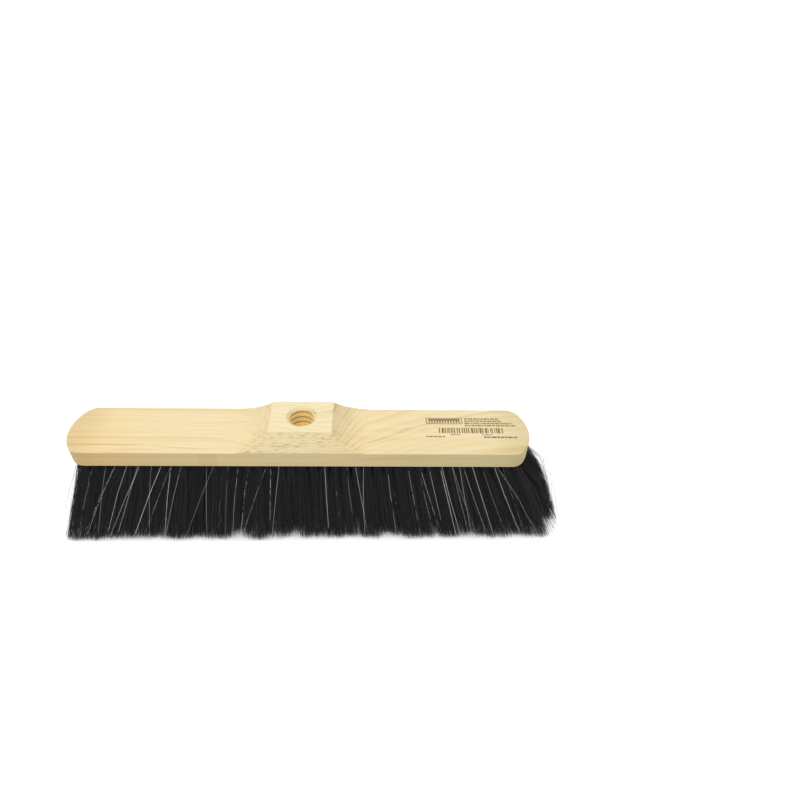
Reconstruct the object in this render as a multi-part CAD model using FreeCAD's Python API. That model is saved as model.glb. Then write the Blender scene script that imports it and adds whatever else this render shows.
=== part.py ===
"""Push broom head: a beech stock with a threaded handle socket, drilled for fanned tufts of horsehair.

Millimetres. X runs along the head, Y from front to rear, Z up. The origin is on the floor, under the
middle of the head, so the trimmed hair tips lie in the plane Z = 0.
"""
import math
import os

import FreeCAD
import Part
from FreeCAD import Vector

# Driving dimensions of the stock
STOCK_LENGTH = 500.0
STOCK_DEPTH = 70.0
WING_THICKNESS = 21.0
STOCK_HEIGHT = 42.0          # through the raised middle
BOSS_TOP_LENGTH = 66.0       # flat on top of the raised middle, along X
BOSS_TOP_DEPTH = 46.5        # the same flat, along Y
SHOULDER_RADIUS = 50.0       # hollow sweep from the raised middle down to each wing
END_RADIUS = 50.0            # plan radius of each end
CORNER_RADIUS = 16.0         # plan radius between the end and the long sides
LOWER_EDGE_ROUNDING = 1.5
WING_EDGE_ROUNDING = 1.2     # around the top of each wing
CREST_ROUNDING = 0.8         # on the raised middle's edges

# Handle socket, a coarse wooden screw thread below a bevelled mouth
SOCKET_RADIUS = 13.2         # at the thread's crests
SOCKET_DEPTH = 26.0
MOUTH_RADIUS = 16.4          # of the bevel, at the raised middle's flat
BEVEL_DEPTH = 2.6
THREAD_PITCH = 7.0
THREAD_DEPTH = 1.6
THREAD_ROOT_WIDTH = 0.8
THREAD_FLANK_ANGLE = 35.0    # degrees, from the socket's radius to each flank
THREAD_START = 3.0           # above the socket's floor
GROOVE_OVERLAP = 1.0         # of the groove's cutting tool with the bore

# Hair tufts
HAIR_LENGTH = 100.0          # from the stock's underside down to the floor
ROW_SPACING = 10.4
TUFT_PITCH = 11.5            # along a row
TUFTS_PER_ROW = {"outer": 41, "middle": 42, "inner": 43}
FAN_ANGLE = 22.0             # lean along X at FAN_REACH from the middle
FAN_REACH = 235.75
SPLAY_ANGLE = 12.5           # lean along Y of the outer rows
HOLE_RADIUS = 2.75
HOLE_DEPTH = 13.0            # along the hole
TUFT_MOUTH_RADIUS = 2.65     # where the tuft leaves its hole
TUFT_TAPER = 0.03            # growth of the radius per millimetre of hair
TUFT_SIDES = 12              # flats around a bundle, whose radii are over the corners

# Anchors: flat wire plates that bite into the wall of each hole and hold the folded tuft
ANCHOR_THICKNESS = 0.45
ANCHOR_HEIGHT = 2.2
ANCHOR_BITE = 0.4            # into the wood, at each end
ANCHOR_TOP_GAP = 0.8         # left above the anchor for the fold of the hair

UNDERSIDE = HAIR_LENGTH
WING_TOP = UNDERSIDE + WING_THICKNESS
BOSS_TOP = UNDERSIDE + STOCK_HEIGHT
HALF_LENGTH = STOCK_LENGTH / 2
HALF_DEPTH = STOCK_DEPTH / 2
MARGIN = 5.0                 # how far a cutting tool passes through the surface that it cuts
TOUCH = 1e-3                 # for comparing lengths
X_AXIS = Vector(1, 0, 0)
Y_AXIS = Vector(0, 1, 0)
Z_AXIS = Vector(0, 0, 1)

ROW_NUMBERS = {"outer": 2.5, "middle": 1.5, "inner": 0.5}
SIDES = {"front": -1, "rear": 1}
SECTIONS = ("left", "centre", "right")


def polyline(points):
    """Straight edges from each point to the next."""
    return [Part.LineSegment(a, b).toShape() for a, b in zip(points, points[1:])]


def arc(centre, radius, start_angle, end_angle):
    """An edge that is an arc in a horizontal plane, with its angles in degrees."""
    angles = (start_angle, (start_angle + end_angle) / 2, end_angle)
    points = [
        centre + Vector(radius * math.cos(math.radians(a)), radius * math.sin(math.radians(a)), 0)
        for a in angles
    ]
    return Part.Arc(*points).toShape()


def plan_block():
    """The stock's plan outline, drawn up to its full height, with the lower edge rounded."""
    corner_y = HALF_DEPTH - CORNER_RADIUS
    end_centre_x = HALF_LENGTH - END_RADIUS
    reach = END_RADIUS - CORNER_RADIUS
    corner_x = end_centre_x + math.sqrt(reach ** 2 - corner_y ** 2)
    split = math.degrees(math.atan2(corner_y, corner_x - end_centre_x))
    z = UNDERSIDE
    edges = [
        Part.LineSegment(Vector(-corner_x, -HALF_DEPTH, z), Vector(corner_x, -HALF_DEPTH, z)).toShape(),
        arc(Vector(corner_x, -corner_y, z), CORNER_RADIUS, -90, -split),
        arc(Vector(end_centre_x, 0, z), END_RADIUS, -split, split),
        arc(Vector(corner_x, corner_y, z), CORNER_RADIUS, split, 90),
        Part.LineSegment(Vector(corner_x, HALF_DEPTH, z), Vector(-corner_x, HALF_DEPTH, z)).toShape(),
        arc(Vector(-corner_x, corner_y, z), CORNER_RADIUS, 90, 180 - split),
        arc(Vector(-end_centre_x, 0, z), END_RADIUS, 180 - split, 180 + split),
        arc(Vector(-corner_x, -corner_y, z), CORNER_RADIUS, 180 + split, 270),
    ]
    block = Part.Face(Part.Wire(edges)).extrude(Z_AXIS * STOCK_HEIGHT)
    lower = [e for e in block.Edges if e.BoundBox.ZMax < UNDERSIDE + TOUCH]
    return block.makeFillet(LOWER_EDGE_ROUNDING, lower)


def shoulder_run():
    """How far along X each hollow sweep reaches."""
    return math.sqrt(SHOULDER_RADIUS ** 2 - (SHOULDER_RADIUS - STOCK_HEIGHT + WING_THICKNESS) ** 2)


def side_profile():
    """The outline seen from the front: thin wings that sweep up to the raised middle."""
    y = -HALF_DEPTH - MARGIN
    half_top = BOSS_TOP_LENGTH / 2
    sweep = math.asin(shoulder_run() / SHOULDER_RADIUS)
    foot_x = half_top + shoulder_run()
    middle_x = foot_x - SHOULDER_RADIUS * math.sin(sweep / 2)
    middle_z = WING_TOP + SHOULDER_RADIUS * (1 - math.cos(sweep / 2))
    far_x = HALF_LENGTH + MARGIN
    low_z = UNDERSIDE - MARGIN

    def shoulder(side):
        """The hollow arc from one wing up to the raised middle."""
        foot = Vector(side * foot_x, y, WING_TOP)
        middle = Vector(side * middle_x, y, middle_z)
        top = Vector(side * half_top, y, BOSS_TOP)
        return Part.Arc(foot, middle, top).toShape()

    wings = polyline([
        Vector(-foot_x, y, WING_TOP),
        Vector(-far_x, y, WING_TOP),
        Vector(-far_x, y, low_z),
        Vector(far_x, y, low_z),
        Vector(far_x, y, WING_TOP),
        Vector(foot_x, y, WING_TOP),
    ])
    flat = polyline([Vector(half_top, y, BOSS_TOP), Vector(-half_top, y, BOSS_TOP)])
    outline = Part.Wire(wings + [shoulder(1)] + flat + [shoulder(-1)])
    return Part.Face(outline).extrude(Y_AXIS * (STOCK_DEPTH + 2 * MARGIN))


def end_profile():
    """The outline seen from the end: upright sides, then a sloping face up to the raised middle's flat."""
    x = -HALF_LENGTH - MARGIN
    half_top = BOSS_TOP_DEPTH / 2
    low_z = UNDERSIDE - MARGIN
    outline = [
        Vector(x, -HALF_DEPTH, low_z),
        Vector(x, HALF_DEPTH, low_z),
        Vector(x, HALF_DEPTH, WING_TOP),
        Vector(x, half_top, BOSS_TOP),
        Vector(x, -half_top, BOSS_TOP),
        Vector(x, -HALF_DEPTH, WING_TOP),
    ]
    face = Part.Face(Part.Wire(polyline(outline + outline[:1])))
    return face.extrude(X_AXIS * (STOCK_LENGTH + 2 * MARGIN))


def socket_bevel():
    """The cone that opens the socket's mouth, run on past the flat."""
    slope = (MOUTH_RADIUS - SOCKET_RADIUS) / BEVEL_DEPTH
    height = BEVEL_DEPTH + MARGIN
    base = Vector(0, 0, BOSS_TOP - BEVEL_DEPTH)
    return Part.makeCone(SOCKET_RADIUS, SOCKET_RADIUS + slope * height, height, base)


def socket_thread():
    """The helical groove that the handle's thread runs in. Its profile starts a little inside the bore."""
    inner = SOCKET_RADIUS - GROOVE_OVERLAP
    outer = SOCKET_RADIUS + THREAD_DEPTH
    half_root = THREAD_ROOT_WIDTH / 2
    half_mouth = half_root + (outer - inner) * math.tan(math.radians(THREAD_FLANK_ANGLE))
    start_z = BOSS_TOP - SOCKET_DEPTH + THREAD_START
    profile = Part.Wire(polyline([
        Vector(inner, 0, -half_mouth),
        Vector(outer, 0, -half_root),
        Vector(outer, 0, half_root),
        Vector(inner, 0, half_mouth),
        Vector(inner, 0, -half_mouth),
    ]))
    helix = Part.Wire(Part.makeHelix(THREAD_PITCH, SOCKET_DEPTH, SOCKET_RADIUS))
    groove = helix.makePipeShell([profile], True, True)
    groove.translate(Z_AXIS * start_z)
    return groove


def lean(x, y):
    """The unit vector along a tuft from its hole's mouth down to its tips."""
    along = math.tan(math.radians(FAN_ANGLE * x / FAN_REACH))
    across = math.tan(math.radians(SPLAY_ANGLE * y / (ROW_NUMBERS["outer"] * ROW_SPACING)))
    return Vector(along, across, -1).normalize()


def row_places(side, row):
    """The hole mouths of one row, from left to right."""
    count = TUFTS_PER_ROW[row]
    y = SIDES[side] * ROW_NUMBERS[row] * ROW_SPACING
    return [Vector((i - (count - 1) / 2) * TUFT_PITCH, y, UNDERSIDE) for i in range(count)]


def tuft_hole(mouth):
    """The drill that cuts one hole."""
    direction = lean(mouth.x, mouth.y)
    start = mouth + direction * MARGIN
    return Part.makeCylinder(HOLE_RADIUS, HOLE_DEPTH + MARGIN, start, direction * -1)


def anchor(mouth):
    """One flat anchor, across the row, near the floor of its hole."""
    direction = lean(mouth.x, mouth.y)
    length = 2 * (HOLE_RADIUS + ANCHOR_BITE)
    plate = Part.makeBox(
        ANCHOR_THICKNESS, length, ANCHOR_HEIGHT,
        Vector(-ANCHOR_THICKNESS / 2, -length / 2, HOLE_DEPTH - ANCHOR_TOP_GAP - ANCHOR_HEIGHT),
    )
    turn = FreeCAD.Rotation(Z_AXIS, direction * -1)
    plate.Placement = FreeCAD.Placement(mouth, turn)
    return plate


def tuft(mouth):
    """One bundle of hair, many-sided, from the underside of its anchor down to the trimmed tips."""
    direction = lean(mouth.x, mouth.y)
    across = direction.cross(X_AXIS).normalize()
    along = across.cross(direction)
    depth = HOLE_DEPTH - ANCHOR_TOP_GAP - ANCHOR_HEIGHT
    root_radius = TUFT_MOUTH_RADIUS - TUFT_TAPER * depth
    roots = []
    tips = []
    for i in range(TUFT_SIDES):
        angle = 2 * math.pi * i / TUFT_SIDES
        outward = along * math.cos(angle) + across * math.sin(angle)
        edge = direction + outward * TUFT_TAPER
        root = mouth - direction * depth + outward * root_radius
        roots.append(root)
        tips.append(root - edge * (root.z / edge.z))
    sides = [(i, (i + 1) % TUFT_SIDES) for i in range(TUFT_SIDES)]
    outlines = [roots + roots[:1], tips + tips[:1]]
    outlines += [[roots[i], roots[j], tips[j], tips[i], roots[i]] for i, j in sides]
    bundle = Part.Solid(Part.Shell([Part.Face(Part.makePolygon(points)) for points in outlines]))
    if bundle.Volume < 0:
        bundle.reverse()
    return bundle


def is_level(edge, z):
    """Whether an edge lies wholly at one height."""
    return abs(edge.BoundBox.ZMin - z) < TOUCH and abs(edge.BoundBox.ZMax - z) < TOUCH


def soften_upper_edges(stock):
    """Round the rim of each wing, then the edges of the raised middle."""
    shoulder_foot = BOSS_TOP_LENGTH / 2 + shoulder_run()
    rims = [
        e for e in stock.Edges
        if is_level(e, WING_TOP) and abs(e.BoundBox.Center.x) > shoulder_foot + TOUCH
    ]
    stock = stock.makeFillet(WING_EDGE_ROUNDING, rims)
    crests = [e for e in stock.Edges if e.BoundBox.ZMax > WING_TOP + TOUCH]
    return stock.makeFillet(CREST_ROUNDING, crests)


def make_stock(holes, anchors):
    """The beech block: shaped, rounded, socketed, threaded and drilled."""
    stock = plan_block().common(side_profile()).common(end_profile()).removeSplitter()
    stock = soften_upper_edges(stock)
    bore = Part.makeCylinder(SOCKET_RADIUS, SOCKET_DEPTH + MARGIN, Vector(0, 0, BOSS_TOP - SOCKET_DEPTH))
    # One cut, because a groove cut from a wall of its own bore's radius removes nothing
    stock = stock.cut([bore, socket_bevel(), socket_thread()])
    return stock.cut(holes).cut(anchors).Solids[0]


def section_of(index, count):
    """The third of a row that a tuft belongs to."""
    return SECTIONS[min(index * len(SECTIONS) // count, len(SECTIONS) - 1)]


def main():
    """Write one STEP per sub-part."""
    os.makedirs("parts", exist_ok=True)
    nodes = {}
    holes = []
    anchors = []
    for side in SIDES:
        for row in ROW_NUMBERS:
            places = row_places(side, row)
            row_anchors = [anchor(p) for p in places]
            holes += [tuft_hole(p) for p in places]
            anchors += row_anchors
            nodes[f"anchors_{side}_{row}_row"] = row_anchors
            for index, place in enumerate(places):
                name = f"tufts_{side}_{row}_{section_of(index, len(places))}"
                nodes.setdefault(name, []).append(tuft(place))
    nodes["wooden_stock"] = [make_stock(holes, anchors)]
    for name, solids in nodes.items():
        shape = solids[0] if len(solids) == 1 else Part.makeCompound(solids)
        shape.exportStep(f"parts/{name}.step")
        state = "valid" if shape.isValid() else "INVALID"
        print(name, len(solids), "solids", round(shape.Volume), "mm3", state)


main()
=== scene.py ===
"""The looks of a wooden push broom head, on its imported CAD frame. Lengths are in metres, in the frame's axes."""

import math

import bpy
import numpy as np
from mathutils import Matrix


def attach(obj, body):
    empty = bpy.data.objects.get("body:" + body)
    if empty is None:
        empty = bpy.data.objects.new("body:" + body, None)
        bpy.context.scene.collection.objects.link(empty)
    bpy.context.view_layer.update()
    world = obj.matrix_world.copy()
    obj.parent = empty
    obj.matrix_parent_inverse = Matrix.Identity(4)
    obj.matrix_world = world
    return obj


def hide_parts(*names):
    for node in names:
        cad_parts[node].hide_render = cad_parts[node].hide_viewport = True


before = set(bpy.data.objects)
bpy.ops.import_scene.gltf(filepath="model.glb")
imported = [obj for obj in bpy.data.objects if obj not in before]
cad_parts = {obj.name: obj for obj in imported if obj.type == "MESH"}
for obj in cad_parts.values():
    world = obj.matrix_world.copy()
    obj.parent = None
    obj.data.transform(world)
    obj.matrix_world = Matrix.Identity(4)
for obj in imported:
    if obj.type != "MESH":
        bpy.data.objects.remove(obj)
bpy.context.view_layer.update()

MM = 0.001

# Heights in the CAD model.
MOUTH_HEIGHT = 0.100  # the stock's underside, where the tufts come out
WING_TOP = 0.121
BOSS_TOP = 0.142  # the flat around the socket

# ---------------------------------------------------------------- shader nodes


class Value:
    """A node's output. Arithmetic on it adds Math nodes to the same material."""

    def __init__(self, nodes, socket):
        self.nodes = nodes
        self.socket = socket

    def __add__(self, other):
        return self.nodes.math("ADD", self, other)

    def __sub__(self, other):
        return self.nodes.math("SUBTRACT", self, other)

    def __mul__(self, other):
        return self.nodes.math("MULTIPLY", self, other)

    def __truediv__(self, other):
        return self.nodes.math("DIVIDE", self, other)

    def rise(self, low, high):
        """0 below low, 1 above high, and a smooth rise between them. It falls where low is above high."""
        settings = {"interpolation_type": "SMOOTHSTEP"}
        return self.nodes.add("MapRange", {"Value": self, "From Min": low, "From Max": high}, **settings)


class Nodes:
    """A material's node tree, with a short call for each kind of node."""

    def __init__(self, name):
        self.material = bpy.data.materials.new(name)
        self.material.use_nodes = True
        self.tree = self.material.node_tree
        self.shader = self.tree.nodes["Principled BSDF"]

    def put(self, socket, value):
        if isinstance(value, Value):
            self.tree.links.new(value.socket, socket)
        else:
            socket.default_value = value

    def add(self, kind, inputs=None, output=0, **settings):
        node = self.tree.nodes.new("ShaderNode" + kind)
        for name, value in settings.items():
            setattr(node, name, value)
        for name, value in (inputs or {}).items():
            self.put(node.inputs[name], value)
        return Value(self, node.outputs[output])

    def math(self, operation, *values):
        return self.add("Math", dict(enumerate(values)), operation=operation)

    def place(self, output="Object"):
        return self.add("TexCoord", output=output)

    def split(self, vector):
        return [self.add("SeparateXYZ", {0: vector}, output=i) for i in range(3)]

    def stretch(self, vector, factors):
        return self.add("VectorMath", {0: vector, 1: factors}, operation="MULTIPLY")

    def noise(self, vector, cell, detail=2.0, roughness=0.5):
        """Noise from -1 to 1, mostly within a third of that, whose features are about as large as cell."""
        scaled = self.stretch(vector, [1 / side for side in cell])
        inputs = {"Vector": scaled, "Scale": 1.0, "Detail": detail, "Roughness": roughness}
        return (self.add("TexNoise", inputs) - 0.5) * 2.0

    def mix(self, factor, first, second, blend="MIX"):
        inputs = {"Factor": factor, 6: first, 7: second}
        return self.add("Mix", inputs, output=2, data_type="RGBA", blend_type=blend)

    def bump(self, height, distance, strength=1.0):
        inputs = {"Height": height, "Distance": distance, "Strength": strength}
        return self.add("Bump", inputs)

    def finish(self, **sockets):
        """Sets the shader's sockets, named with _ for a space, and returns the material."""
        for name, value in sockets.items():
            self.put(self.shader.inputs[name.replace("_", " ")], value)
        return self.material


def rgb(red, green, blue):
    return (red, green, blue, 1.0)


# ---------------------------------------------------------------- beech

RING_SPACING = 2.6  # mm between growth rings, on average
TILT = (0.62, 0.24)  # how far the rings tip towards the rear, in the left and the right half
DROP = (15.0, 17.0)  # mm that the rings fall from mid-length to each end
DROP_REACH = (0.06, 0.13)
PALE_BEECH = rgb(0.66, 0.555, 0.34)
WARM_BEECH = rgb(0.67, 0.52, 0.275)
SANDED_TOP = rgb(0.69, 0.625, 0.425)
# painted shade: the upright sides darker and warmer than the tops
PAINTED_SIDE_SHADE = rgb(0.76, 0.73, 0.66)
LATEWOOD = rgb(0.82, 0.70, 0.51)
FLECK_BROWN = rgb(0.64, 0.53, 0.37)
STREAK_BROWN = rgb(0.80, 0.68, 0.46)
CUT_BEECH = rgb(0.94, 0.78, 0.39)
# painted shade in the roots of the socket's thread
PAINTED_GROOVE_SHADE = rgb(0.62, 0.48, 0.29)
# painted shade towards both rounded ends
PAINTED_END_SHADE = rgb(0.88, 0.87, 0.84)
# painted shade, with a slightly greener tint, on the boss's front and rear facets
PAINTED_FACET_SHADE = rgb(0.94, 0.96, 0.95)
RIGHT_WING = rgb(0.965, 1.0, 1.03)
RIGHT_SIDE = rgb(0.92, 0.945, 0.90)
LEFT_SIDE = rgb(1.0, 0.93, 0.87)
TAN_PATCH = rgb(0.95, 0.92, 0.86)
CUT_RADIUS = 15.2 * MM  # just past the roots of the socket's thread
CUT_CREST = 13.3 * MM  # just past the thread's crests
CUT_FLOOR = 0.113  # below the socket's floor
BEVEL_FOOT = BOSS_TOP - 2.6 * MM


def ring_field(n, place):
    """Millimetres across the growth rings: one more ring at each RING_SPACING."""
    x, y, z = n.split(place)
    tilt, drop, reach = (x.rise(-0.05, 0.05) * (right - left) + left for left, right in (TILT, DROP, DROP_REACH))
    run = x / reach
    bulge = (n.math("EXPONENT", run * run * -1.0) - 1.0) * drop
    drift = n.noise(place, (0.25, 0.05, 0.05)) * 2.4
    ripple = n.noise(place, (0.03, 0.008, 0.008)) * 0.45
    return (z + y * tilt) * 1000.0 + bulge + drift + ripple


def growth_rings(n, place):
    """From 0 to 1, each ring darkening slowly to its latewood. Spacing and strength change from ring to ring."""
    rings = ring_field(n, place) / RING_SPACING
    rings = rings + n.math("SINE", rings * 1.9) * 0.16 + n.math("SINE", rings * 0.73 + 1.0) * 0.42
    within = n.math("FRACT", rings)
    strength = n.add("TexWhiteNoise", {"W": n.math("FLOOR", rings)}, noise_dimensions="1D")
    broken = n.noise(place, (0.07, 0.01, 0.01)).rise(-0.35, 0.3) * 0.6 + 0.4
    return within.rise(0.1, 0.88) * within.rise(1.0, 0.92) * (strength * strength * 0.75 + 0.25) * broken


def streak(n, place, middle, half_width, slope, ends):
    """A brown line along the wing's top, between two places on the x axis."""
    x, y, _ = n.split(place)
    wander = n.noise(place, (0.05, 0.5, 0.5)) * 1.5 * MM
    off_line = n.math("ABSOLUTE", y - middle - (x - ends[0]) * slope + wander)
    fade = 12 * MM
    in_reach = x.rise(ends[0] - fade, ends[0] + fade) * x.rise(ends[1] + fade, ends[1] - fade)
    return off_line.rise(half_width, half_width * 0.2) * in_reach


def beech():
    """Pale beech: soft growth rings, flecks of rays, fine grain, a slow change of tint, and painted shade on the
    sides, facets, ends and thread grooves.
    """
    n = Nodes("beech")
    place = n.place()
    x, y, z = n.split(place)
    normal_x, normal_y, normal_z = n.split(n.place("Normal"))

    late = growth_rings(n, place)
    shoulders = n.math("ABSOLUTE", normal_x).rise(0.1, 0.45)
    rightward = x.rise(-0.06, 0.06)
    from_axis = n.math("SQRT", x * x + y * y)
    in_socket = from_axis.rise(CUT_RADIUS, CUT_RADIUS - 0.4 * MM) * z.rise(CUT_FLOOR, CUT_FLOOR + 1 * MM)
    in_socket = in_socket * z.rise(BEVEL_FOOT + 0.6 * MM, BEVEL_FOOT - 0.2 * MM)
    sides = n.math("ABSOLUTE", normal_z).rise(0.35, 0.15) * (in_socket * -1.0 + 1.0)
    late = late * (rightward * 0.45 + 0.4 + shoulders * (rightward * 0.6 + 0.45)) * (sides * -0.6 + 1.0)

    grain = n.noise(place, (0.07, 0.0010, 0.0010), detail=3.0)
    lines = n.noise(place, (0.30, 0.0030, 0.0030), detail=2.0)
    bands = n.noise(place, (0.40, 0.012, 0.012), detail=2.0)
    clouds = n.noise(place, (0.14, 0.05, 0.05), detail=2.0)

    flecks = n.noise(place, (0.0065, 0.0010, 0.0010), detail=1.0).rise(0.1, 0.3)
    patches = n.noise(place, (0.03, 0.008, 0.008), detail=1.0).rise(-0.35, 0.15)
    mid_length = n.math("ABSOLUTE", x).rise(0.08, 0.045)
    off_middle = n.math("ABSOLUTE", y).rise(0.008, 0.026)
    below_top = z.rise(BOSS_TOP - 0.5 * MM, BOSS_TOP - 2.5 * MM)
    above_side = z.rise(WING_TOP - 1.5 * MM, WING_TOP + 0.5 * MM)
    flecks = flecks * patches * (mid_length * off_middle * below_top * above_side * 0.9 + 0.06)

    left_streaks = (
        streak(n, place, -23.4 * MM, 1.7 * MM, 0.0, (-0.25, -0.17)) * 0.95
        + streak(n, place, -24.2 * MM, 1.4 * MM, -0.09, (-0.16, -0.10)) * 0.5
        + streak(n, place, -30.3 * MM, 1.3 * MM, 0.0, (-0.19, -0.15)) * 0.6
    )
    left_streaks = left_streaks * normal_z.rise(0.5, 0.8)

    warmth = clouds * 1.0 + bands * 0.6 + x.rise(-0.12, -0.25) * 0.75 + 0.2
    colour = n.mix(warmth.rise(-0.2, 1.2), PALE_BEECH, WARM_BEECH)
    colour = n.mix(z.rise(BOSS_TOP - 1.5 * MM, BOSS_TOP - 0.5 * MM) * 0.6, colour, SANDED_TOP)
    colour = n.mix(in_socket, colour, CUT_BEECH)
    colour = n.mix(late, colour, LATEWOOD, "MULTIPLY")
    colour = n.mix(grain.rise(-0.15, 0.7) * 0.32, colour, LATEWOOD, "MULTIPLY")
    colour = n.mix(lines.rise(-0.1, 0.5) * (rightward * -0.2 + 0.34), colour, LATEWOOD, "MULTIPLY")
    colour = n.mix(bands.rise(0.0, 0.6) * 0.22, colour, LATEWOOD, "MULTIPLY")
    colour = n.mix(flecks * 0.8, colour, FLECK_BROWN, "MULTIPLY")
    colour = n.mix(left_streaks * 0.8, colour, STREAK_BROWN, "MULTIPLY")
    facets = n.math("ABSOLUTE", normal_y).rise(0.6, 0.8) * z.rise(WING_TOP - 0.5 * MM, WING_TOP + 1 * MM)
    off_patch = n.math("ABSOLUTE", x + 0.098)
    for share, tint in (
        # painted shade on the upright sides
        (sides, PAINTED_SIDE_SHADE),
        (sides * x.rise(0.03, 0.16), RIGHT_SIDE),
        (sides * x.rise(-0.08, -0.16), LEFT_SIDE),
        (sides * off_patch.rise(0.013, 0.006), TAN_PATCH),
        # painted shade on the facets
        (facets, PAINTED_FACET_SHADE),
        (x.rise(0.04, 0.12), RIGHT_WING),
        # painted shade towards the ends
        (n.math("ABSOLUTE", x).rise(0.2, 0.245), PAINTED_END_SHADE),
        # painted shade in the thread's grooves
        (in_socket * from_axis.rise(CUT_CREST, CUT_CREST + 1.3 * MM), PAINTED_GROOVE_SHADE),
    ):
        colour = n.mix(share, colour, tint, "MULTIPLY")

    relief = grain * 0.5 + late * -0.6 + flecks * -0.8
    n.finish(
        Base_Color=colour,
        Roughness=grain * 0.1 + flecks * -0.1 + 0.56,
        Normal=n.bump(relief, 0.05 * MM),
        Specular_IOR_Level=0.3,
    )
    return n.material


def wire():
    """Galvanised wire of the anchors, drawn lengthwise."""
    n = Nodes("anchor_wire")
    drawn = n.noise(n.place(), (0.004, 0.0002, 0.0002))
    spangle = n.noise(n.place(), (0.0012, 0.0012, 0.0012), detail=1.0)
    colour = n.mix(spangle.rise(-0.6, 0.6), rgb(0.48, 0.49, 0.5), rgb(0.62, 0.62, 0.61))
    bump = n.bump(drawn, 0.02 * MM)
    return n.finish(Base_Color=colour, Metallic=1.0, Roughness=drawn * 0.1 + 0.4, Normal=bump)


# ---------------------------------------------------------------- hair

MOUTH_SPREAD = 2.5 * MM  # the half width of a tuft where it comes out of the stock
IN_HOLE = 4 * MM  # how far up its hole a hair starts
HAIRS_PER_TUFT = 200
RING_FRACTIONS = (0.0, 0.1, 0.38, 0.94)  # of a hair's free length, before its tip
CLUMPS = 8  # in a tuft
TUBE_SIDES = 3
TIP_LIMIT = np.array([300 * MM, 59.3 * MM])  # for x to the right, and for y to either side
LEFT_LIMIT = -290 * MM
LOWEST_TIP = 0.15 * MM
CLUMP_STEP = 1.4 * MM  # by how much, on average, a clump is trimmed shorter than the longest
TUFT_PLAY = 1 * MM  # how far a tuft leans by chance
ROW_GAP = 13 * MM  # from an outer row's tips to the next row's
STRAY_SCATTER = 6 * MM
STRAY_REACH = 14 * MM  # how far beyond its tuft a stray hair of an end's tuft may lean
STRAY_OPENING = 1.2
DARK_HABIT = {
    "reach": np.array([8.5, 9.0]) * MM,
    "opening": ((4.0, 3.0), (9.0, 7.0)),
    "swept": 0.25,
    "clumping": 0.5,
}
PALE_HABIT = {
    "reach": np.array([9.5, 8.5]) * MM,
    "opening": ((1.0, 4.0), (1.6, 8.0)),
    "swept": 0.8,
    "held_back": 0.15,
    "stray": 0.2,
    "short": 0.3,
}
DARK_TONES = [
    # name, colour, roughness
    ("hair_black", rgb(0.0163, 0.0155, 0.0178), 0.6),
    ("hair_blue_black", rgb(0.018, 0.0185, 0.0245), 0.55),
    ("hair_brown_black", rgb(0.025, 0.020, 0.017), 0.6),
    ("hair_slate", rgb(0.042, 0.042, 0.044), 0.6),
]
DARK_SHARES = (0.54, 0.24, 0.16, 0.06)
PALE_TONES = [
    ("hair_white", rgb(0.93, 0.92, 0.89), 0.45),
    ("hair_grey", rgb(0.45, 0.45, 0.445), 0.45),
    ("hair_cream", rgb(0.62, 0.56, 0.45), 0.45),
]
PALE_SHARES = (0.58, 0.27, 0.15)


def plain_materials(tones, specular):
    """One material to a tone. A piece holds them all, and each of its hairs takes one."""
    materials = []
    for name, colour, roughness in tones:
        n = Nodes(name)
        materials.append(n.finish(Base_Color=colour, Roughness=roughness, Specular_IOR_Level=specular))
    return materials


def tufts_of(node):
    """The root and tip centres of each tuft in a CAD node, from the node's mesh."""
    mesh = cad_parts[node].data
    points = np.empty(len(mesh.vertices) * 3)
    mesh.vertices.foreach_get("co", points)
    corners, same = np.unique(points.reshape(-1, 3).round(6), axis=0, return_inverse=True)
    same = same.reshape(-1)
    group = list(range(len(corners)))

    def head(i):
        while group[i] != i:
            i = group[i]
        return i

    for edge in mesh.edges:
        first, second = (head(same[v]) for v in edge.vertices)
        group[max(first, second)] = min(first, second)
    heads = np.array([head(i) for i in range(len(corners))])
    tufts = []
    for one in np.unique(heads):
        own = corners[heads == one]
        high = own[:, 2] > MOUTH_HEIGHT / 2
        tufts.append((own[high].mean(0), own[~high].mean(0)))
    return tufts


def unit(vectors):
    return vectors / np.linalg.norm(vectors, axis=-1, keepdims=True)


def in_disc(rng, count):
    """Points spread evenly over a disc of radius 1."""
    angle = rng.uniform(0, 2 * math.pi, count)
    return np.sqrt(rng.uniform(0, 1, count))[:, None] * np.stack([np.cos(angle), np.sin(angle)], 1)


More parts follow.
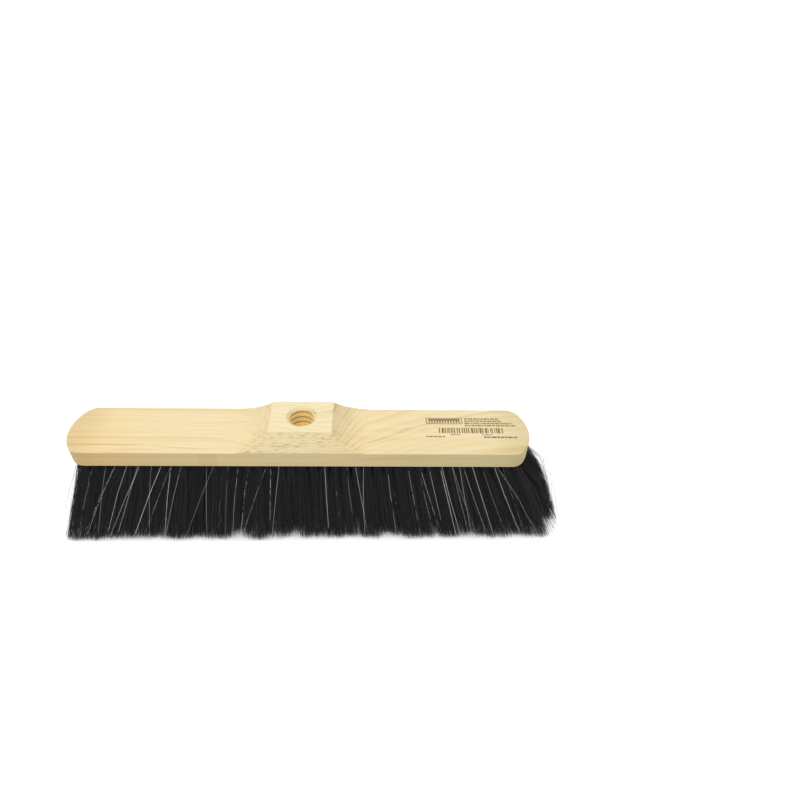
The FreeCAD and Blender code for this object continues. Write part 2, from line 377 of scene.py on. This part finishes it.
def tube_mesh(name, paths, radii, tones, materials):
    """A closed, tapered tube along each path, pointed at its last point."""
    count, rings = paths.shape[0], paths.shape[1] - 1
    along = unit(np.diff(paths, axis=1))
    side = unit(np.cross(along, np.array([0.31, 0.95, 0.05])))
    other = np.cross(along, side)
    angles = np.arange(TUBE_SIDES) * 2 * math.pi / TUBE_SIDES
    circle = side[:, :, None] * np.cos(angles)[:, None] + other[:, :, None] * np.sin(angles)[:, None]
    tube = paths[:, :-1, None] + circle * radii[:, :, None, None]
    points = np.concatenate([tube.reshape(count, rings * TUBE_SIDES, 3), paths[:, -1:]], 1)

    one = []
    for ring in range(rings - 1):
        for k in range(TUBE_SIDES):
            a, b = ring * TUBE_SIDES + k, ring * TUBE_SIDES + (k + 1) % TUBE_SIDES
            one.append((a, b, b + TUBE_SIDES, a + TUBE_SIDES))
    last = (rings - 1) * TUBE_SIDES
    ends = [(last + k, last + (k + 1) % TUBE_SIDES, rings * TUBE_SIDES) for k in range(TUBE_SIDES)]
    ends.append(tuple(reversed(range(TUBE_SIDES))))
    step = np.arange(count)[:, None, None] * points.shape[1]
    quads = (np.array(one)[None] + step).reshape(-1, 4)
    triangles = (np.array(ends)[None] + step).reshape(-1, 3)

    mesh = bpy.data.meshes.new(name)
    mesh.from_pydata(points.reshape(-1, 3).tolist(), [], quads.tolist() + triangles.tolist())
    for material in materials:
        mesh.materials.append(material)
    slots = np.concatenate([np.repeat(tones, len(one)), np.repeat(tones, len(ends))])
    mesh.polygons.foreach_set("material_index", slots.astype(np.int32))
    mesh.shade_smooth()
    mesh.update()
    piece = bpy.data.objects.new(name, mesh)
    bpy.context.scene.collection.objects.link(piece)
    return piece


NOTCH_RADIUS = 6 * MM
NOTCH_DEPTHS = np.linspace(1.0, 9.0, 90) * MM
NOTCHES = np.random.default_rng(5).uniform((-0.28, -0.058), (0.26, 0.058), (len(NOTCH_DEPTHS), 2))
NOTCHES[-2:] = (-0.078, -0.054), (-0.071, -0.05)  # the two deepest, side by side in front


def ragged(feet):
    """How far above the floor the hairs end at some places: a slow wave, and notches where the trim was short."""
    x, y = feet.T
    waves = np.sin(x * 61 + 1.0) + np.sin(x * 137 + y * 40 + 2.0) + 0.7 * np.sin(x * 310 + 4.0)
    away = np.linalg.norm(feet[:, None] - NOTCHES[None], axis=2) / NOTCH_RADIUS
    return 0.5 * MM + 0.5 * MM * waves + (np.exp(-away * away) * NOTCH_DEPTHS).max(1)


def end_shares(x):
    """How near a place is to the left and to the right end, each from 0 to 1."""
    return np.clip((-x - 0.10) / 0.13, 0, 1), np.clip((x - 0.17) / 0.07, 0, 1)


def foot_shift(mouth):
    """How far a tuft's tips stand from where its line meets the floor: to the right at both ends, most of all in
    a middle row's right end, and a little to the outside in the outer rows."""
    x, y = mouth[:2]
    left, right = end_shares(x)
    outer_row = np.clip((abs(y) - 16 * MM) / (9 * MM), 0, 1)
    middle_row = np.clip(1 - abs(abs(y) - 15.6 * MM) / (7 * MM), 0, 1)
    along = (9 * MM + 0.06 * y + 5 * MM * middle_row) * right + 7 * MM * left
    outward = (2.4 * MM - 0.006 * x) * outer_row
    return np.array([along, outward * np.sign(y)])


def sweep(x):
    """How far, lengthwise, the swept hairs lean beyond their tuft's line: mostly to the left, but not at its end."""
    off_the_left_end = np.clip((x + 265 * MM) / (55 * MM), 0, 1)
    return np.clip(0.14 * x - 8 * MM, -30 * MM, 8 * MM) * off_the_left_end


def grow(
    rng,
    tufts,
    counts,
    reach,
    opening,
    swept,
    push=0,
    held_back=1,
    lift=0,
    inward=0,
    clumping=0,
    stray=0.02,
    short=0.05,
    bend=0.8 * MM,
):
    """The paths of the hairs of some tufts, (hair, point, xyz): in the hole, at the mouth, and on to the tip.

    counts: how many hairs each tuft has.
    reach: a tuft's half width at the floor, in x and y.
    opening: the least and the most that a hair hurries away from its tuft's line, in x and y.
    push: from 0 to 1, how far the hairs are crowded to the brush's outside.
    held_back: the least share of push that a hair has at the mouth, where it may start deeper in.
    lift: how far the hairs stand off the outside at mid-length.
    clumping: how far, at most, a hair is drawn to its clump.
    bend: the spread of how far a hair bows at mid-length.
    swept, inward, stray, short: the shares of the hairs that lean along the brush, that fill the gap behind an
    outer row, that stand apart, and that are cut short."""
    paths = []
    for (top, foot), count in zip(tufts, counts):
        axis = unit(foot - top)
        mouth = top + axis * (MOUTH_HEIGHT - top[2]) / axis[2]
        side = np.sign(mouth[1])
        left, right = end_shares(mouth[0])
        own = in_disc(rng, count)
        chosen = rng.integers(0, CLUMPS, count)
        clump = in_disc(rng, CLUMPS)[chosen]
        pull = rng.uniform(0, clumping, count)[:, None]
        tip = own * (1 - pull) + clump * pull + rng.normal(0, 0.12, (count, 2))
        for spot, crowding in ((own, push * rng.uniform(held_back, 1, count)), (tip, push)):
            spot[:, 1] = spot[:, 1] * (1 - crowding) + side * crowding
        loose = (rng.uniform(size=count) < stray + 0.09 * right)[:, None]
        middle = foot[:2] + foot_shift(mouth) + rng.normal(0, TUFT_PLAY, 2)
        tip_xy = middle + tip * reach + rng.normal(0, STRAY_SCATTER, (count, 2)) * loose
        tip_xy[:, 0] += loose[:, 0] * (right - left) * rng.uniform(0, STRAY_REACH, count)
        tip_xy[:, 1] -= (rng.uniform(size=count) < inward) * side * rng.uniform(0, ROW_GAP, count)
        tip_xy[:, 0] += (rng.uniform(size=count) < swept) * rng.uniform(0.2, 1.15, count) * sweep(middle[0])
        tip_xy = np.clip(tip_xy, (LEFT_LIMIT, -TIP_LIMIT[1]), TIP_LIMIT)

        height = ragged(tip_xy) + rng.uniform(-0.9, 1.0, count) * MM + rng.gamma(1.0, CLUMP_STEP, CLUMPS)[chosen]
        cut_short = rng.uniform(size=count) < short
        height = np.clip(height + cut_short * rng.uniform(2, 20, count) * MM, LOWEST_TIP, None)
        fractions = np.array(RING_FRACTIONS + (1.0,))
        fall = (1 - height / MOUTH_HEIGHT)[:, None] * fractions
        quickness = 1 + (rng.uniform(*opening, (count, 2)) - 1) * (1 - 0.8 * right)
        quickness[:, 0] = np.where(loose[:, 0], STRAY_OPENING, quickness[:, 0])
        opened = 1 - (1 - fall)[..., None] ** quickness[:, None]
        on_line = mouth[:2] + (foot - mouth)[:2] * fall[..., None]
        offset = own[:, None] * MOUTH_SPREAD * (1 - opened) + (tip_xy - foot[:2])[:, None] * opened
        bow = rng.normal(0, bend, (count, 2)) + (0, side * lift)
        bow[:, 0] += (right * (1.5 + 5 * loose[:, 0]) - left * 0.7) * MM * rng.gamma(2.0, 0.5, count)
        offset = offset + bow[:, None] * np.sin(math.pi * fall ** 0.75)[..., None]
        free = np.concatenate([on_line + offset, MOUTH_HEIGHT * (1 - fall[..., None])], 2)
        paths.append(np.concatenate([free[:, :1] - axis * IN_HOLE, free], 1))
    return np.concatenate(paths)


def hair_piece(name, rng, tufts, counts, tones, shares, thick, uneven, **settings):
    """One piece of the hairs of some tufts. thick is a hair's usual radius, and uneven the spread of its logarithm."""
    paths = grow(rng, tufts, counts, **settings)
    size = rng.lognormal(0, uneven, len(paths))[:, None]
    taper = np.array([0.9, 1.0, 1.0, 1.0, 0.85])
    chosen = rng.choice(len(tones), len(paths), p=shares)
    return tube_mesh(name, paths, size * thick * taper, chosen, tones)


def make_hair():
    dark, pale = plain_materials(DARK_TONES, 0.15), plain_materials(PALE_TONES, 0.3)
    tuft_nodes = sorted(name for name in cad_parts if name.startswith("tufts_"))
    for seed, node in enumerate(tuft_nodes):
        tufts = tufts_of(node)
        piece = hair_piece(
            node.replace("tufts", "hair"), np.random.default_rng(seed), tufts, [HAIRS_PER_TUFT] * len(tufts),
            dark, DARK_SHARES, thick=0.155 * MM, uneven=0.15,
            push=0.45 * ("outer" in node), inward=0.4 * ("outer" in node), **DARK_HABIT,
        )
        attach(piece, "root")
        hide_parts(node)
    for side in ("front", "rear"):
        for row, usual, push in (("outer", 1.7, 0.78), ("middle", 1.0, 0.3), ("inner", 0.4, 0.0)):
            rng = np.random.default_rng(len(side) * 100 + len(row))
            nodes = [name for name in tuft_nodes if f"{side}_{row}" in name]
            tufts = [tuft for node in nodes for tuft in tufts_of(node)]
            towards_ends = np.array([0.05 + abs(top[0]) / 0.24 for top, foot in tufts])
            counts = np.floor(usual * towards_ends + rng.uniform(-1.1, 1.7, len(tufts))).clip(0).astype(int)
            piece = hair_piece(
                f"pale_hair_{side}_{row}", rng, tufts, counts, pale, PALE_SHARES,
                thick=0.093 * MM, uneven=0.27, push=push, lift=2 * push * MM, bend=0.5 * MM, **PALE_HABIT,
            )
            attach(piece, "root")


# ---------------------------------------------------------------- stamp on the wing

INK = rgb(0.15, 0.092, 0.03)
THIN_INK = rgb(0.22, 0.155, 0.068)
INKED_WOOD = rgb(0.50, 0.39, 0.21)
INK_SINK = 0.02 * MM
INK_RISE = 0.03 * MM


def ink(name, colour, fade):
    """Ink that the grain takes up unevenly."""
    n = Nodes(name)
    uneven = n.noise(n.place(), (0.004, 0.0006, 0.0006), detail=2.0)
    return n.finish(Base_Color=n.mix(uneven.rise(-0.2, 0.6) * fade, colour, INKED_WOOD), Roughness=0.6)


class Stamp:
    """Flat marks on the wing's top, gathered into one mesh. Places and sizes are in millimetres."""

    def __init__(self):
        self.points, self.faces, self.tones = [], [], []

    def bar(self, x, y, width, height, tone=0):
        """A thin closed plate, from its left front corner."""
        first = len(self.points)
        outline = [(x, y), (x + width, y), (x + width, y + height), (x, y + height)]
        for z in (WING_TOP - INK_SINK, WING_TOP + INK_RISE):
            self.points += [(px * MM, py * MM, z) for px, py in outline]
        low = [first, first + 1, first + 2, first + 3]
        high = [i + 4 for i in low]
        self.faces += [tuple(reversed(low)), tuple(high)]
        for i in range(4):
            j = (i + 1) % 4
            self.faces.append((low[i], low[j], high[j], high[i]))
        self.tones += [tone] * 6

    def words(self, rng, x, y, length, height, tone=1):
        """A broken rule, in place of a line of small print."""
        end = x + length
        while x < end:
            width = min(rng.uniform(1.2, 5.5), end - x)
            self.bar(x, y, width, height, tone)
            x += width + 0.8

    def brush_mark(self, x, y, width, height):
        """A plain pictogram of a brush on its bristles, in a frame."""
        rim = 0.9
        self.bar(x, y, width, rim)
        self.bar(x, y + height - rim, width, rim)
        self.bar(x, y + rim, rim, height - 2 * rim)
        self.bar(x + width - rim, y + rim, rim, height - 2 * rim)
        self.bar(x + 2.7, y + height * 0.56, width - 5.4, height * 0.28)
        bristles = 12
        step = (width - 7.0) / (bristles - 1)
        for i in range(bristles):
            self.bar(x + 3.5 + step * i - 0.8, y + height * 0.18, 1.6, height * 0.38)

    def piece(self, name):
        mesh = bpy.data.meshes.new(name)
        mesh.from_pydata(self.points, [], self.faces)
        for material in (ink("ink", INK, 0.25), ink("ink_thin", THIN_INK, 0.55)):
            mesh.materials.append(material)
        mesh.polygons.foreach_set("material_index", np.array(self.tones, np.int32))
        mesh.update()
        piece = bpy.data.objects.new(name, mesh)
        bpy.context.scene.collection.objects.link(piece)
        return piece


def make_stamp():
    """Generic print where the real one has its maker's print: no letters, and bars that encode nothing."""
    rng = np.random.default_rng(7)
    stamp = Stamp()
    stamp.brush_mark(136.0, 10.9, 40.8, 9.8)
    for i, length in enumerate((39, 42, 54, 58)):
        stamp.words(rng, 179.2, 18.2 - 3.6 * i, length, 2.5)
    x = 149.5
    while x < 222.0:
        width = rng.choice([0.8, 1.3, 2.2])
        stamp.bar(x, -3.6, width, 8.6)
        x += width + rng.choice([0.8, 1.1, 1.9])
    stamp.words(rng, 162.3, -6.4, 11.0, 1.5)
    stamp.words(rng, 196.7, -6.4, 11.0, 1.5)
    stamp.words(rng, 134.7, -10.0, 20.7, 2.2)
    stamp.words(rng, 198.4, -10.8, 37.5, 2.4, tone=0)
    piece = stamp.piece("stamp_marks")
    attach(piece, "root")


# ---------------------------------------------------------------- floor, light and camera


def make_floor():
    n = Nodes("pale_floor")
    cloud = n.noise(n.place(), (0.6, 0.6, 0.6))
    colour = n.mix(cloud.rise(-1.0, 1.0), rgb(0.93, 0.93, 0.93), rgb(0.95, 0.95, 0.95))
    n.finish(Base_Color=colour, Roughness=0.9, Specular_IOR_Level=0.1)
    half = 6.0
    mesh = bpy.data.meshes.new("floor")
    corners = [(-half, -half, 0), (half, -half, 0), (half, half, 0), (-half, half, 0)]
    mesh.from_pydata(corners, [], [(0, 1, 2, 3)])
    mesh.materials.append(n.material)
    floor = bpy.data.objects.new("floor", mesh)
    bpy.context.scene.collection.objects.link(floor)


def make_sky(strength):
    """A soft, even white surround."""
    world = bpy.data.worlds.new("surround")
    bpy.context.scene.world = world
    world.use_nodes = True
    background = world.node_tree.nodes["Background"]
    background.inputs["Color"].default_value = rgb(1.0, 1.0, 1.0)
    background.inputs["Strength"].default_value = strength


def make_soft_sun(elevation, from_left, strength, width):
    """A wide light from the front and left. Its angles are in degrees."""
    data = bpy.data.lights.new("soft_sun", "SUN")
    data.energy = strength
    data.angle = math.radians(width)
    light = bpy.data.objects.new("soft_sun", data)
    bpy.context.scene.collection.objects.link(light)
    light.rotation_euler = (math.radians(90 - elevation), 0, math.radians(-from_left))


def make_camera():
    data = bpy.data.cameras.new("camera")
    data.lens = 27
    data.sensor_width = 36
    camera = bpy.data.objects.new("camera", data)
    bpy.context.scene.collection.objects.link(camera)
    yaw, pitch, roll = (math.radians(angle) for angle in (-3.49, 41.43, 2.77))
    turn = Matrix.Rotation(yaw, 4, "Z") @ Matrix.Rotation(math.pi / 2 - pitch, 4, "X")
    place = Matrix.Translation((0.0758, -0.4730, 0.5843))
    camera.matrix_world = place @ turn @ Matrix.Rotation(roll, 4, "Z")
    bpy.context.scene.camera = camera


def dress(node, material):
    """Gives a CAD node's slots a material of this script."""
    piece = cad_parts[node]
    for slot in piece.material_slots:
        slot.material = material


dress("wooden_stock", beech())
wire_material = wire()
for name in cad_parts:
    if name.startswith("anchors_"):
        dress(name, wire_material)
make_hair()
make_stamp()
make_floor()
make_sky(0.75)
make_soft_sun(elevation=74, from_left=35, strength=2.2, width=70)
make_camera()
bpy.context.scene.view_settings.view_transform = "Standard"
